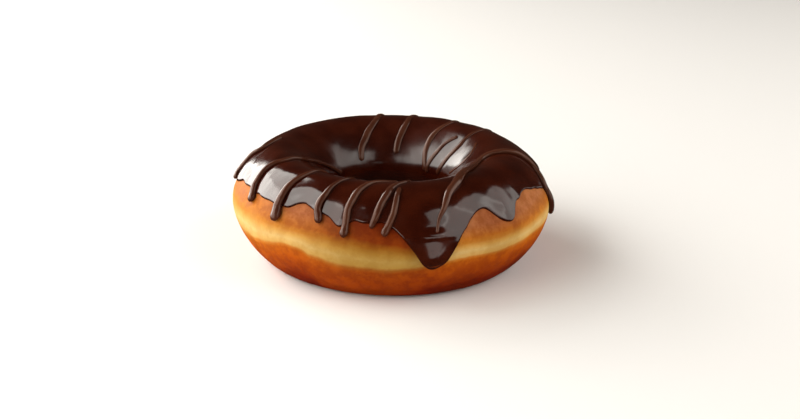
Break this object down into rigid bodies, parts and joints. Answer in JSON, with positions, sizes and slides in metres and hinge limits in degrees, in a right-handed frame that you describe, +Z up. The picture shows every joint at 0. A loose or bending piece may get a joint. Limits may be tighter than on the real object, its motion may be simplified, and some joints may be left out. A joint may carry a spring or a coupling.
{
  "type": "ring doughnut",
  "caption": "Yeast-raised ring doughnut with a pale belt, glossy chocolate glaze that runs down its sides and into its hole, and strands of thicker chocolate drizzled over the top.",
  "frame": {"origin": "centre of the hole on the surface that the doughnut rests on", "axes": "+Z up through the hole; -Y is the front, where the longest run of glaze hangs a little to the right of the middle; +X is the right seen from the front"},
  "size_m": [0.0966, 0.098, 0.0336],
  "materials": {
    "fried_dough": "soft fried dough, golden brown above and below a pale cream belt, finely mottled",
    "glossy_chocolate": "very dark red-brown chocolate glaze, set to a wet gloss",
    "satin_chocolate": "dark brown drizzled chocolate, set to a satin"
  },
  "bodies": {
    "root": {"dough_ring": "fried_dough", "chocolate_glaze": "glossy_chocolate", "drizzle_strand_01": "satin_chocolate", "drizzle_strand_02": "satin_chocolate", "drizzle_strand_03": "satin_chocolate", "drizzle_strand_04": "satin_chocolate", "drizzle_strand_05": "satin_chocolate", "drizzle_strand_06": "satin_chocolate", "drizzle_strand_07": "satin_chocolate", "drizzle_strand_08": "satin_chocolate", "drizzle_strand_09": "satin_chocolate", "drizzle_strand_10": "satin_chocolate", "drizzle_strand_11": "satin_chocolate", "drizzle_strand_12": "satin_chocolate", "drizzle_strand_13": "satin_chocolate", "drizzle_strand_14": "satin_chocolate"}
  },
  "joints": []
}
